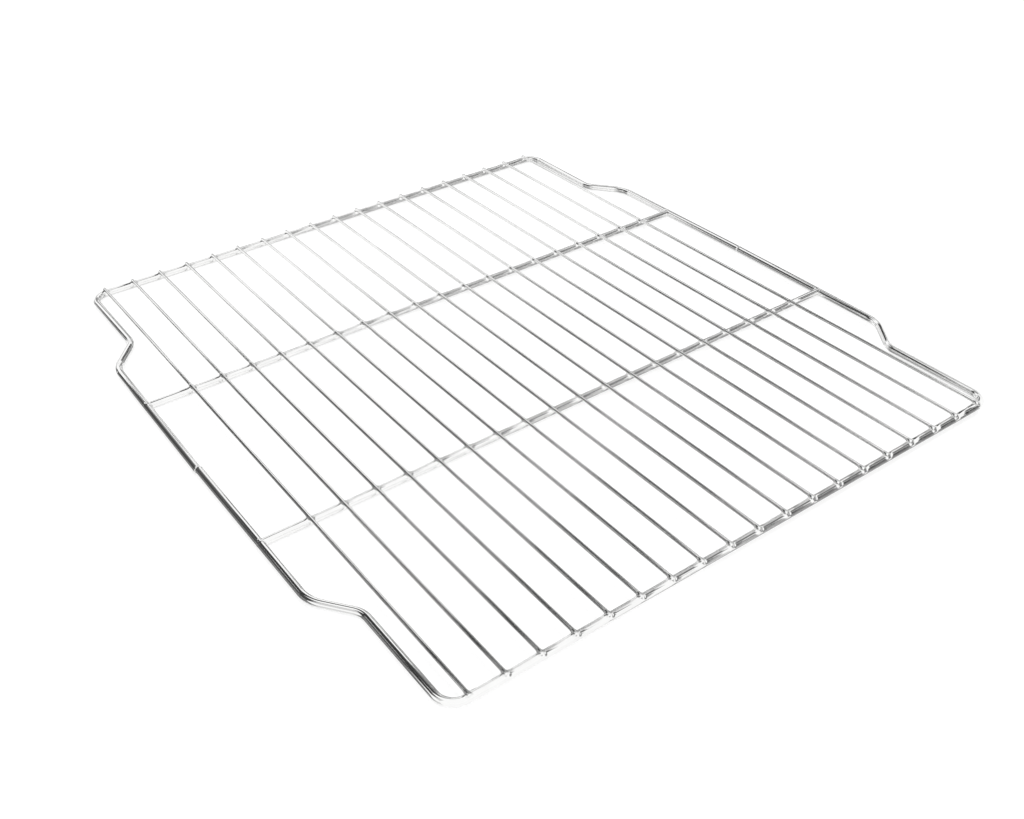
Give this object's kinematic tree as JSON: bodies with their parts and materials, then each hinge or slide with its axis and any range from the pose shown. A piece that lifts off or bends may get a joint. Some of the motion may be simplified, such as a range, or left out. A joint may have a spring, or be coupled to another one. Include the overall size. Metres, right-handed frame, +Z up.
{
  "type": "oven rack",
  "caption": "Chrome-plated wire shelf for an oven, with a joggled round frame, cross bars and a grid of thin wires welded on top.",
  "frame": {"origin": "middle of the rack, on the surface that its frame wire lies on", "axes": "+Z up through the open grid, +Y along the thin wires towards the rear, +X along the cross bars to the right; the front is at -Y"},
  "size_m": [0.6052, 0.6422, 0.0087],
  "materials": {
    "bar_chrome": "bright plated",
    "grid_chrome": "bright plated"
  },
  "bodies": {
    "root": {"frame_front_half": "bar_chrome", "frame_rear_half": "bar_chrome", "cross_bar_front": "bar_chrome", "cross_bar_rear": "bar_chrome", "grid_wire_01": "grid_chrome", "grid_wire_02": "grid_chrome", "grid_wire_03": "grid_chrome", "grid_wire_04": "grid_chrome", "grid_wire_05": "grid_chrome", "grid_wire_06": "grid_chrome", "grid_wire_07": "grid_chrome", "grid_wire_08": "grid_chrome", "grid_wire_09": "grid_chrome", "grid_wire_10": "grid_chrome", "grid_wire_11": "grid_chrome", "grid_wire_12": "grid_chrome", "grid_wire_13": "grid_chrome", "grid_wire_14": "grid_chrome", "grid_wire_15": "grid_chrome", "grid_wire_16": "grid_chrome", "grid_wire_17": "grid_chrome", "grid_wire_18": "grid_chrome", "grid_wire_19": "grid_chrome"}
  },
  "joints": []
}
